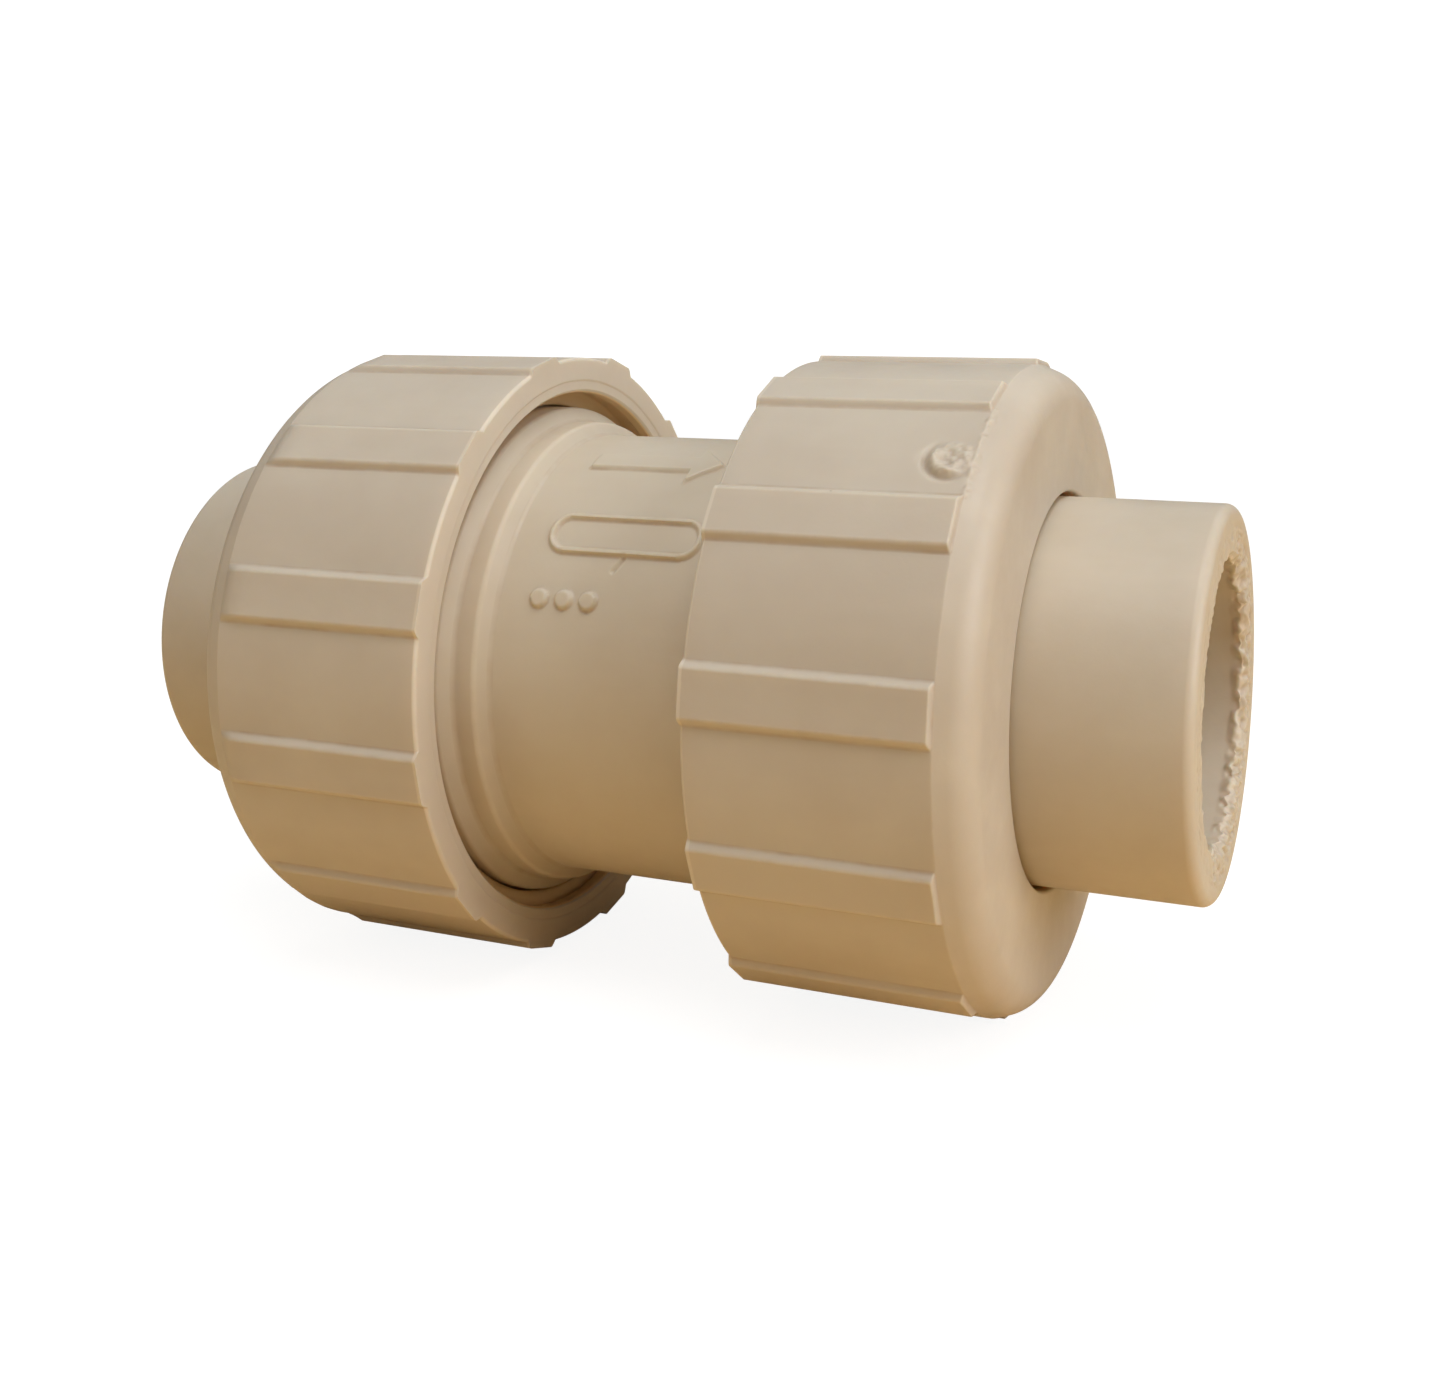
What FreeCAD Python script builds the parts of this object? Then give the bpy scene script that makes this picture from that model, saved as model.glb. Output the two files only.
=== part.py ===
import FreeCAD, Part
import math
import os

# Double-union spring check valve for 3/4 inch copper-tube-size plastic pipe, in millimetres.
# +X is the flow direction, +Z is up, and the origin is in the middle of the bore.
# Everything on one side is drawn for the outlet (+X) and turned half round about Z for the inlet,
# so both threads stay right-handed.

V = FreeCAD.Vector
ORIGIN = V(0, 0, 0)
X_AXIS = V(1, 0, 0)
Y_AXIS = V(0, 1, 0)
Z_AXIS = V(0, 0, 1)
SIDES = ("inlet", "outlet")

# Pipe sockets
HALF_LENGTH = 44.1        # from the middle of the body to each open end
SOCKET_R = 11.2           # takes pipe of 22.2 outside diameter
SOCKET_DEPTH = 17.5
SOCKET_CHAMFER = 0.3
TAIL_R = 15.0             # outside of the socket
TAIL_ROUNDING = 0.8
WATERWAY_R = 9.2

# Valve body
BARREL_R = 18.5
BARREL_HALF = 8.5         # the plain barrel reaches this far each way
STEP_R = 19.6             # first ring beside the barrel
STEP_START = 9.3
STEP_END = 11.1
COLLAR_R = 20.65          # second ring, which is also the root of the thread
COLLAR_START = 11.9
BODY_HALF = 22.75         # the end faces that the connectors seal on
CAVITY_R = 14.6
COUNTERBORE_R = 15.6
INLET_STEP_X = -13.0      # the seat ring stops here
OUTLET_STEP_X = 14.0      # the spring guide stops here

# Coarse union thread, the same on both ends
THREAD_PITCH = 3.0
MALE_CREST_R = 22.0
MALE_CREST_HALF = 0.45
FLANK_SLOPE = 0.38        # half-width gained per millimetre of depth
MALE_FIRST_TURN_X = 14.2
MALE_LAST_TURN_X = 21.7
FEMALE_MINOR_R = 21.0
FEMALE_MAJOR_R = 22.4
FLANK_CLEARANCE = 0.3
FEMALE_START = 1.6        # from the nut's open end to the middle of its first turn
FEMALE_RUN_OUT = 1.4      # from the middle of its last turn to the shoulder
THREAD_SUNK = 0.3         # buried in the wall so that thread and wall join fully

# Union nuts
NUT_OPEN_X = 10.8         # from the middle of the body to the open end
NUT_LENGTH = 20.8
NUT_SHOULDER = 4.0
NUT_HOLE_R = 15.7
NUT_MOUTH_R = 22.7
NUT_DRUM_R = 25.1
NUT_SHOULDER_ROUNDING = 3.8
BAR_COUNT = 12
BAR_TOP_R = 25.55
BAR_FOOT_R = 24.6
BAR_TOP_HALF = 1.85
BAR_SIDE_SLOPE = 0.8
BAR_LENGTH = 18.3
BAR_PHASE = {"inlet": 162.7, "outlet": 7.4}    # degrees up from the front, in the side's own frame

# Gaps between pieces that bear on each other
FACE_GAP = 0.1
FLANGE_R = 20.65
LEAD_IN_R = 11.0

# Face seals in the body's ends
GROOVE_INNER_R = 16.7
GROOVE_OUTER_R = 19.5
GROOVE_DEPTH = 1.9

# Seat ring and its seal
SEAT_RING_R = 15.5
SEAT_BORE_R = 9.0
SEAT_LIP_INNER_R = 9.6
SEAT_LIP_OUTER_R = 10.6
SEAT_LIP_X = -12.2
SEAT_GROOVE_X = (-19.2, -16.8)
SEAT_GROOVE_R = 13.9
SEAT_SEAL_WIRE_R = 0.84

# Poppet, which moves along +X to open
POPPET_R = 12.0
SEAL_FRONT_X = -12.15
SEAL_BACK_X = -10.55
DISC_BACK_X = -8.05
PILOT_R = 3.1
SPRING_BOSS_R = 3.9
SPRING_BOSS_X = -6.2
STEM_R = 2.6
STEM_TIP_X = 19.0
SCREW_R = 1.45
SCREW_HOLE_R = 1.5
SCREW_HOLE_X = -6.0
SCREW_TIP_X = -6.6
SCREW_HEAD_R = 2.8
SCREW_HEAD_LENGTH = 1.7
RETAINER_R = 8.3
RETAINER_THICKNESS = 1.5

# Return spring
SPRING_R = 4.6
SPRING_WIRE_R = 0.45
SPRING_TURNS = 7

# Spring guide and its retaining ring
HUB_R = 5.4
HUB_BORE_R = 2.7
HUB_START_X = 12.0
GUIDE_END_X = 18.35
RIM_R = 15.5
RIM_INNER_R = 13.2
SPOKE_START_X = 14.8
SPOKE_WIDTH = 2.2
SPOKE_COUNT = 4
SNAP_GROOVE_X = (18.45, 19.6)
SNAP_GROOVE_R = 16.6
SNAP_INNER_R = 14.3
SNAP_GAP = 9.0            # opening between the ring's two ends
SNAP_LUG_R = 1.5
SNAP_LUG_HOLE_R = 0.6

# Raised marks on the barrel
MARK_HEIGHT = 0.35
ARROW_ANGLE = 66.7
ARROW_TAIL_X = -5.1
ARROW_NECK_X = 3.7
ARROW_TIP_X = 6.3
ARROW_SHAFT_HALF = 1.05
ARROW_HEAD_HALF = 2.6
PANEL_ANGLE = 41.0
PANEL_CENTRE_X = 1.0
PANEL_LENGTH = 13.0
PANEL_WIDTH = 3.6
PANEL_BORDER = 0.5
PANEL_CORNER = 1.4
DOT_ANGLE = 23.8
DOT_R = 0.75
DOT_SPACING = 2.1
DOT_FIRST_X = -4.9
DOT_COUNT = 3


def rounded_wire(corners):
    """Close a wire in the X-Z plane; each corner is (x, distance from the axis, rounding)."""
    count = len(corners)
    joints = []
    for index, (x, radius, rounding) in enumerate(corners):
        here = V(x, 0, radius)
        previous = corners[index - 1]
        following = corners[(index + 1) % count]
        back = (V(previous[0], 0, previous[1]) - here).normalize()
        ahead = (V(following[0], 0, following[1]) - here).normalize()
        if rounding == 0:
            joints.append((here, here, here))
            continue
        half_angle = back.getAngle(ahead) / 2
        reach = rounding / math.tan(half_angle)
        inward = (back + ahead).normalize()
        middle = here + inward * (rounding / math.sin(half_angle) - rounding)
        joints.append((here + back * reach, middle, here + ahead * reach))
    edges = []
    for index, (start, middle, end) in enumerate(joints):
        if start != end:
            edges.append(Part.Arc(start, middle, end).toShape())
        next_start = joints[(index + 1) % count][0]
        if (next_start - end).Length > 1e-6:
            edges.append(Part.LineSegment(end, next_start).toShape())
    return Part.Wire(edges)


def turned(corners):
    """Turn a closed outline round the X axis."""
    return Part.Face(rounded_wire(corners)).revolve(ORIGIN, X_AXIS, 360)


def ring(inner, outer, start, end):
    """Plain ring between two radii and two places along X."""
    return turned([(start, inner, 0), (start, outer, 0), (end, outer, 0), (end, inner, 0)])


def rod(radius, start, end):
    return Part.makeCylinder(radius, end - start, V(start, 0, 0), X_AXIS)


def for_side(shape, side):
    """Turn an outlet piece half round about Z when it belongs to the inlet."""
    turned_shape = shape.copy()
    if side == "inlet":
        turned_shape.rotate(ORIGIN, Z_AXIS, 180)
    return turned_shape


def at_angle(shape, degrees):
    """Turn a shape drawn towards the front (-Y) up round the X axis."""
    turned_shape = shape.copy()
    turned_shape.rotate(ORIGIN, X_AXIS, -degrees)
    return turned_shape


def helical_bar(inner_r, inner_half, outer_r, outer_half, first, last):
    """Right-hand bar of tapered section wound round +X, starting from below."""
    section = Part.makePolygon([V(inner_r, 0, -inner_half), V(outer_r, 0, -outer_half),
                                V(outer_r, 0, outer_half), V(inner_r, 0, inner_half),
                                V(inner_r, 0, -inner_half)])
    path = Part.makeHelix(THREAD_PITCH, last - first, inner_r)
    bar = Part.Wire(path.Edges).makePipeShell([section], True, True)
    bar.rotate(ORIGIN, Y_AXIS, 90)
    bar.translate(V(first, 0, 0))
    return bar


def male_half_width(radius):
    return MALE_CREST_HALF + (MALE_CREST_R - radius) * FLANK_SLOPE


def female_half_width(radius):
    return THREAD_PITCH / 2 - male_half_width(radius) - FLANK_CLEARANCE


def male_thread():
    root_r = COLLAR_R - THREAD_SUNK
    return helical_bar(root_r, male_half_width(root_r), MALE_CREST_R, MALE_CREST_HALF,
                       MALE_FIRST_TURN_X, MALE_LAST_TURN_X)


def female_thread(first, last):
    """Thread that runs midway between the turns of the male thread."""
    root_r = FEMALE_MAJOR_R + THREAD_SUNK
    bar = helical_bar(FEMALE_MINOR_R, female_half_width(FEMALE_MINOR_R),
                      root_r, female_half_width(root_r), first, last)
    turns_ahead = (first - MALE_FIRST_TURN_X) / THREAD_PITCH - 0.5
    bar.rotate(ORIGIN, X_AXIS, 360 * turns_ahead)
    return bar


def prism_on_barrel(outline, degrees):
    """Raise a flat outline of (x, height) points by MARK_HEIGHT from the barrel at an angle."""
    depth = 2.0
    points = [V(x, -(BARREL_R - depth), z) for x, z in outline]
    face = Part.Face(Part.makePolygon(points + [points[0]]))
    block = face.extrude(V(0, -2 * depth, 0))
    skin = rod(BARREL_R + MARK_HEIGHT, -BARREL_HALF - 3, BARREL_HALF + 3)
    return at_angle(block.common(skin), degrees)


def rounded_box_outline(length, width, corner):
    """Outline of a flat box with rounded corners, centred on PANEL_CENTRE_X."""
    outline = []
    steps = 6
    for quarter, (side_x, side_z) in enumerate([(1, 1), (-1, 1), (-1, -1), (1, -1)]):
        for step in range(steps + 1):
            angle = math.radians(90 * quarter + 90 * step / steps)
            x = PANEL_CENTRE_X + side_x * (length / 2 - corner) + corner * math.cos(angle)
            z = side_z * (width / 2 - corner) + corner * math.sin(angle)
            outline.append((x, z))
    return outline


def arrow():
    """Flow arrow, pointing at the outlet."""
    upper = [(ARROW_TAIL_X, ARROW_SHAFT_HALF), (ARROW_NECK_X, ARROW_SHAFT_HALF),
             (ARROW_NECK_X, ARROW_HEAD_HALF)]
    lower = [(x, -z) for x, z in reversed(upper)]
    return prism_on_barrel(upper + [(ARROW_TIP_X, 0)] + lower, ARROW_ANGLE)


def blank_panel():
    """Raised border round an empty panel."""
    outer = rounded_box_outline(PANEL_LENGTH, PANEL_WIDTH, PANEL_CORNER)
    inner = rounded_box_outline(PANEL_LENGTH - 2 * PANEL_BORDER, PANEL_WIDTH - 2 * PANEL_BORDER,
                                PANEL_CORNER - PANEL_BORDER)
    border = prism_on_barrel(outer, PANEL_ANGLE)
    return border.cut(prism_on_barrel(inner, PANEL_ANGLE))


def size_dots():
    """Row of plain round dots."""
    depth = 2.0
    skin = rod(BARREL_R + MARK_HEIGHT, -BARREL_HALF, BARREL_HALF)
    dots = []
    for index in range(DOT_COUNT):
        place = V(DOT_FIRST_X + index * DOT_SPACING, -(BARREL_R - depth), 0)
        dots.append(Part.makeCylinder(DOT_R, 2 * depth, place, V(0, -1, 0)).common(skin))
    return [at_angle(dot, DOT_ANGLE) for dot in dots]


def valve_body():
    """Barrel with stepped bore, face grooves and a male thread on each end."""
    outside = [(BARREL_HALF, BARREL_R, 0.5), (STEP_START, STEP_R, 0.5), (STEP_END, STEP_R, 0.4),
               (COLLAR_START, COLLAR_R, 0.4), (BODY_HALF, COLLAR_R, 0.5)]
    groove_floor = BODY_HALF - GROOVE_DEPTH
    end_face = [(BODY_HALF, GROOVE_OUTER_R, 0), (groove_floor, GROOVE_OUTER_R, 0),
                (groove_floor, GROOVE_INNER_R, 0), (BODY_HALF, GROOVE_INNER_R, 0),
                (BODY_HALF, COUNTERBORE_R, 0)]
    outlet = outside + end_face
    inlet = [(-x, radius, rounding) for x, radius, rounding in reversed(outlet)]
    bore = [(SNAP_GROOVE_X[1], COUNTERBORE_R, 0), (SNAP_GROOVE_X[1], SNAP_GROOVE_R, 0),
            (SNAP_GROOVE_X[0], SNAP_GROOVE_R, 0), (SNAP_GROOVE_X[0], COUNTERBORE_R, 0),
            (OUTLET_STEP_X, COUNTERBORE_R, 0), (OUTLET_STEP_X, CAVITY_R, 0),
            (INLET_STEP_X, CAVITY_R, 0), (INLET_STEP_X, COUNTERBORE_R, 0)]
    core = turned(outlet + bore + inlet)
    marked = core.fuse([arrow(), blank_panel()] + size_dots()).removeSplitter()
    return marked.fuse([for_side(male_thread(), side) for side in SIDES])


def nut_bars():
    """Grip bars along the drum, between the open end and the rounded shoulder."""
    foot_half = BAR_TOP_HALF + (BAR_TOP_R - BAR_FOOT_R) * BAR_SIDE_SLOPE
    section = [V(NUT_OPEN_X, -BAR_FOOT_R, -foot_half), V(NUT_OPEN_X, -BAR_TOP_R, -BAR_TOP_HALF),
               V(NUT_OPEN_X, -BAR_TOP_R, BAR_TOP_HALF), V(NUT_OPEN_X, -BAR_FOOT_R, foot_half)]
    bar = Part.Face(Part.makePolygon(section + [section[0]])).extrude(V(BAR_LENGTH, 0, 0))
    pitch_angle = 360 / BAR_COUNT
    return [at_angle(bar, pitch_angle * index) for index in range(BAR_COUNT)]


def union_nut(side):
    shoulder_x = NUT_OPEN_X + NUT_LENGTH
    bearing_x = shoulder_x - NUT_SHOULDER
    blank = turned([(NUT_OPEN_X, NUT_MOUTH_R, 0), (NUT_OPEN_X, NUT_DRUM_R, 0.3),
                    (shoulder_x, NUT_DRUM_R, NUT_SHOULDER_ROUNDING), (shoulder_x, NUT_HOLE_R, 0.4),
                    (bearing_x, NUT_HOLE_R, 0), (bearing_x, FEMALE_MAJOR_R, 0),
                    (NUT_OPEN_X + 0.5, FEMALE_MAJOR_R, 0)])
    bars = [at_angle(bar, BAR_PHASE[side]) for bar in nut_bars()]
    thread = female_thread(NUT_OPEN_X + FEMALE_START, bearing_x - FEMALE_RUN_OUT)
    return for_side(blank.fuse(bars).removeSplitter().fuse(thread), side)


def end_connector(side):
    face_x = BODY_HALF + FACE_GAP
    flange_x = NUT_OPEN_X + NUT_LENGTH - NUT_SHOULDER - FACE_GAP
    stop_x = HALF_LENGTH - SOCKET_DEPTH
    lead_in = 2.0
    shape = turned([(face_x, LEAD_IN_R, 0), (face_x, FLANGE_R, 0.3), (flange_x, FLANGE_R, 0.3),
                    (flange_x, TAIL_R, 0.5), (HALF_LENGTH, TAIL_R, TAIL_ROUNDING),
                    (HALF_LENGTH, SOCKET_R + SOCKET_CHAMFER, 0),
                    (HALF_LENGTH - SOCKET_CHAMFER, SOCKET_R, 0), (stop_x, SOCKET_R, 0),
                    (stop_x, WATERWAY_R, 0), (face_x + lead_in, WATERWAY_R, 0)])
    return for_side(shape, side)


def face_seal(side):
    """Sealing ring pressed flat in the groove of the body's end face."""
    side_gap = 0.15
    start = BODY_HALF - GROOVE_DEPTH + 0.02
    end = BODY_HALF + FACE_GAP - 0.03
    inner = GROOVE_INNER_R + side_gap
    outer = GROOVE_OUTER_R - side_gap
    bulge = 0.9
    corners = [(start, inner, bulge), (start, outer, bulge), (end, outer, bulge),
               (end, inner, bulge)]
    return for_side(turned(corners), side)


def seat_ring():
    start = -BODY_HALF + 0.05
    end = INLET_STEP_X - 0.05
    corners = [(start, SEAT_BORE_R, 0.4), (start, SEAT_RING_R, 0.3),
               (SEAT_GROOVE_X[0], SEAT_RING_R, 0), (SEAT_GROOVE_X[0], SEAT_GROOVE_R, 0),
               (SEAT_GROOVE_X[1], SEAT_GROOVE_R, 0), (SEAT_GROOVE_X[1], SEAT_RING_R, 0),
               (end, SEAT_RING_R, 0.3), (end, SEAT_LIP_OUTER_R + 0.4, 0),
               (SEAT_LIP_X, SEAT_LIP_OUTER_R, 0.2), (SEAT_LIP_X, SEAT_LIP_INNER_R, 0.2),
               (end, SEAT_BORE_R, 0)]
    return turned(corners)


def seat_ring_seal():
    centre_x = sum(SEAT_GROOVE_X) / 2
    centre_r = (SEAT_GROOVE_R + COUNTERBORE_R) / 2
    return Part.makeTorus(centre_r, SEAT_SEAL_WIRE_R, V(centre_x, 0, 0), X_AXIS)


def poppet():
    return turned([(SCREW_HOLE_X, 0, 0), (SCREW_HOLE_X, SCREW_HOLE_R, 0),
                   (SEAL_FRONT_X, SCREW_HOLE_R, 0), (SEAL_FRONT_X, PILOT_R, 0),
                   (SEAL_BACK_X, PILOT_R, 0), (SEAL_BACK_X, POPPET_R, 0.3),
                   (DISC_BACK_X, POPPET_R, 0.6), (DISC_BACK_X, SPRING_BOSS_R, 0),
                   (SPRING_BOSS_X, SPRING_BOSS_R, 0.3), (SPRING_BOSS_X + 1.5, STEM_R, 0),
                   (STEM_TIP_X, STEM_R, 0.6), (STEM_TIP_X, 0, 0)])


def poppet_seal():
    clearance = 0.1
    return ring(PILOT_R + clearance, POPPET_R - clearance, SEAL_FRONT_X, SEAL_BACK_X)


def seal_retainer():
    front = SEAL_FRONT_X - RETAINER_THICKNESS
    return turned([(front, SCREW_HOLE_R + 0.1, 0), (front, RETAINER_R, 0.5),
                   (SEAL_FRONT_X, RETAINER_R, 0.2), (SEAL_FRONT_X, SCREW_HOLE_R + 0.1, 0)])


def retainer_screw():
    seat_x = SEAL_FRONT_X - RETAINER_THICKNESS
    top_x = seat_x - SCREW_HEAD_LENGTH
    screw = turned([(top_x, 0, 0), (top_x, SCREW_HEAD_R, 0.8), (seat_x, SCREW_HEAD_R, 0.2),
                    (seat_x, SCREW_R, 0), (SCREW_TIP_X, SCREW_R, 0.4), (SCREW_TIP_X, 0, 0)])
    slot_width = 0.8
    slot_length = 4.0
    slot_depth = 0.9
    slot = Part.makeBox(slot_depth, slot_width, slot_length,
                        V(top_x, -slot_width / 2, -slot_length / 2))
    cross_slot = slot.copy()
    cross_slot.rotate(ORIGIN, X_AXIS, 90)
    return screw.cut([slot, cross_slot])


def return_spring():
    """Open coil of round wire between the poppet's back and the guide's hub."""
    start = DISC_BACK_X + 0.02
    end = HUB_START_X - 0.02
    rise = end - start - 2 * SPRING_WIRE_R
    coil_pitch = rise / SPRING_TURNS
    slope = math.atan2(coil_pitch, 2 * math.pi * SPRING_R)
    along_wire = V(0, math.cos(slope), math.sin(slope))
    circle = Part.Circle(V(SPRING_R, 0, 0), along_wire, SPRING_WIRE_R)
    halves = [Part.ArcOfCircle(circle, 0, math.pi), Part.ArcOfCircle(circle, math.pi, 2 * math.pi)]
    wire_end = Part.Wire([half.toShape() for half in halves])
    path = Part.makeHelix(coil_pitch, rise, SPRING_R)
    spring = Part.Wire(path.Edges).makePipeShell([wire_end], True, True)
    spring.rotate(ORIGIN, Y_AXIS, 90)
    spring.translate(V(start + SPRING_WIRE_R, 0, 0))
    return spring


def spring_guide():
    """Hub that the poppet's stem slides in, held in a rim by spokes."""
    hub = rod(HUB_R, HUB_START_X, GUIDE_END_X)
    rim = ring(RIM_INNER_R, RIM_R, OUTLET_STEP_X + 0.05, GUIDE_END_X)
    reach = (RIM_INNER_R + RIM_R) / 2
    spokes = []
    for index in range(SPOKE_COUNT):
        spoke = Part.makeBox(GUIDE_END_X - SPOKE_START_X, SPOKE_WIDTH, reach,
                             V(SPOKE_START_X, -SPOKE_WIDTH / 2, 0))
        spoke.rotate(ORIGIN, X_AXIS, 45 + 360 / SPOKE_COUNT * index)
        spokes.append(spoke)
    bore = rod(HUB_BORE_R, HUB_START_X - 1, GUIDE_END_X + 1)
    return hub.fuse([rim] + spokes).cut(bore).removeSplitter()


def guide_retaining_ring():
    """Split ring that snaps into the body's inner groove, with two eyes for pliers."""
    start = SNAP_GROOVE_X[0] + 0.05
    end = SNAP_GROOVE_X[1] - 0.05
    band = ring(SNAP_INNER_R, SNAP_GROOVE_R - 0.1, start, end)
    gap = Part.makeBox(end - start, SNAP_GAP, SNAP_GROOVE_R, V(start, -SNAP_GAP / 2, 0))
    band = band.cut(gap)
    eye_r = SNAP_INNER_R - 0.4
    eye_angle = math.asin((SNAP_GAP / 2 + SNAP_LUG_R * 0.6) / eye_r)
    for way in (-1, 1):
        place = V(start, way * eye_r * math.sin(eye_angle), eye_r * math.cos(eye_angle))
        eye = Part.makeCylinder(SNAP_LUG_R, end - start, place, X_AXIS)
        hole = Part.makeCylinder(SNAP_LUG_HOLE_R, end - start, place, X_AXIS)
        band = band.fuse(eye).cut(hole)
    return band.removeSplitter()


def build_all():
    pieces = {
        "valve_body": valve_body(),
        "seat_ring": seat_ring(),
        "seat_ring_o_ring": seat_ring_seal(),
        "poppet": poppet(),
        "poppet_seal": poppet_seal(),
        "seal_retainer": seal_retainer(),
        "retainer_screw": retainer_screw(),
        "return_spring": return_spring(),
        "spring_guide": spring_guide(),
        "guide_retaining_ring": guide_retaining_ring(),
    }
    for side in SIDES:
        pieces[side + "_union_nut"] = union_nut(side)
        pieces[side + "_end_connector"] = end_connector(side)
        pieces[side + "_face_o_ring"] = face_seal(side)
    return pieces


os.makedirs("parts", exist_ok=True)
for name, shape in build_all().items():
    solids = len(shape.Solids)
    print(f"{name}: solids {solids}, valid {shape.isValid()}, volume {shape.Volume:.1f}")
    shape.exportStep(f"parts/{name}.step")
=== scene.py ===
import math

import bpy
import numpy as np
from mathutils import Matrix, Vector


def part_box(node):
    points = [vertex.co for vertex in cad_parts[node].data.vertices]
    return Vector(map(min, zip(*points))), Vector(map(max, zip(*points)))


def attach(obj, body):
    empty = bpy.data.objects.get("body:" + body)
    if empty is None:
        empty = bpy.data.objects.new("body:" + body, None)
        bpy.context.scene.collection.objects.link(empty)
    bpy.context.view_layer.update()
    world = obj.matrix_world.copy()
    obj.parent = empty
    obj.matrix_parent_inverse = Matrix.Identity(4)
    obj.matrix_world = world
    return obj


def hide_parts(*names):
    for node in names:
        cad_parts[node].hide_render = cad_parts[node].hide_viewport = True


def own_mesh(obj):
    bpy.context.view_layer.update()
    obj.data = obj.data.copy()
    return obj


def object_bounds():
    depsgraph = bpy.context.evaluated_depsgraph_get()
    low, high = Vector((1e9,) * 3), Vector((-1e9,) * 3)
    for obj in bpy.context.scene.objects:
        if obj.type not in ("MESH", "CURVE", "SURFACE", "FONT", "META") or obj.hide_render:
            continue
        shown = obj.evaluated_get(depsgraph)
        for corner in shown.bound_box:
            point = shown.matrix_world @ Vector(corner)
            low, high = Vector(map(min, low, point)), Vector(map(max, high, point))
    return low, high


# Double-union spring check valve in cream CPVC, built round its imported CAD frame.
# Lengths are millimetres unless the name says metres. Angles are degrees round the X axis, counted
# up from the front (-Y). Pieces of one side are drawn for the outlet (+X), and turned half round
# about Z for the inlet.

MM = 0.001                # one millimetre in metres

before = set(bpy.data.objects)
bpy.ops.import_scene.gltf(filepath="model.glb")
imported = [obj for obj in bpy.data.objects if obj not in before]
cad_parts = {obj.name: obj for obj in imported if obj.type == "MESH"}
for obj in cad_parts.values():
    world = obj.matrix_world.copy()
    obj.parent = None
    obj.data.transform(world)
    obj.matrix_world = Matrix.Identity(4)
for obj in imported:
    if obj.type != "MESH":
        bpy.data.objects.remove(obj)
cad_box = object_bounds()


def cad_reach(node):
    """Least and greatest distance of a CAD node from the middle, along X."""
    low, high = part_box(node)
    return sorted(abs(x) / MM for x in (low.x, high.x))


SIDES = ("inlet", "outlet")

# Taken from the frame
NUT_OPEN_X, NUT_SHOULDER_X = cad_reach("outlet_union_nut")
CONNECTOR_FACE_X, HALF_LENGTH = cad_reach("outlet_end_connector")
BODY_HALF = cad_reach("valve_body")[1]
FLOOR_Z = cad_box[0].z / MM

# Body
BARREL_R = 18.5
BARREL_HALF = 8.5
STEP_R = 19.6
STEP_START = 9.3
STEP_END = 11.1
COLLAR_R = 20.8
COLLAR_START = 11.9
CAVITY_R = 14.6
COUNTERBORE_R = 15.6
INLET_STEP_X = -13.0
OUTLET_STEP_X = 14.0
GROOVE_INNER_R = 16.7
GROOVE_OUTER_R = 19.5
GROOVE_DEPTH = 1.9
SNAP_GROOVE_START = 18.45
SNAP_GROOVE_END = 19.6
SNAP_GROOVE_R = 16.6

# Threads
THREAD_PITCH = 3.0
FLANK_SLOPE = 0.38
MALE_CREST_R = 22.0
MALE_CREST_HALF = 0.45
MALE_FIRST_TURN_X = 14.2
MALE_LAST_TURN_X = 21.7
FEMALE_MINOR_R = 21.0
FEMALE_MAJOR_R = 22.4
FEMALE_TIP_HALF = 0.37
FEMALE_START = 1.6
FEMALE_RUN_OUT = 1.4
THREAD_FADE = 0.35        # half the length over which the ends of a thread rise
THREAD_BLEND = 0.3        # rounding of the crests and feet
THREAD_START_ANGLE = -90.0    # where the body's outlet thread crosses MALE_FIRST_TURN_X

# Nuts
NUT_SHOULDER = 4.0
NUT_HOLE_R = 15.38
NUT_MOUTH_R = 22.15
MOUTH_LIP = 1.2           # length of the lip before the threads
MOUTH_LEDGE = 0.1         # depth of the shallow ledge round the mouth
NUT_DRUM_R = 25.1
SHOULDER_EDGE = 18.2      # from the open end to where the drum turns over into the shoulder
SHOULDER_TILT = 22.0      # slope of the shoulder where it starts
SHOULDER_ROUNDING = 2.7   # between the sloping band and the flat outer face
BAR_COUNT = 12
BAR_TOP_R = 25.55
BAR_TOP_SINK = 0.03       # how far the bars' tops stay below BAR_TOP_R
BAR_TOP_HALF = 1.85
BAR_SIDE_SLOPE = 0.8
BAR_LENGTH = 18.0
BAR_END_SLOPE = 0.3
BAR_EDGE_BLEND = 0.3
BAR_FOOT_BLEND = 0.2
BAR_PHASE = {"inlet": 162.7, "outlet": 7.4}

# Moulding marks on the outlet nut
GATE_X = 27.3
GATE_ANGLE = 50.0
GATE_R = 1.75
GATE_NICK = 0.24
GATE_NICK_R = GATE_R + 0.1
GATE_LIP = 0.28
GATE_LIP_R = GATE_R - 0.62
GATE_LOW_SIDE = (-0.75, -0.66)    # along X and up the drum, to where nick and lip are deepest
GATE_STUB = 0.05
GATE_ROUGH = 0.09
FLASH_HEIGHT = 0.11
FLASH_NEAR_GATE = (38, 46, 60, 70)    # angles over which the flash grows and fades again

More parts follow.
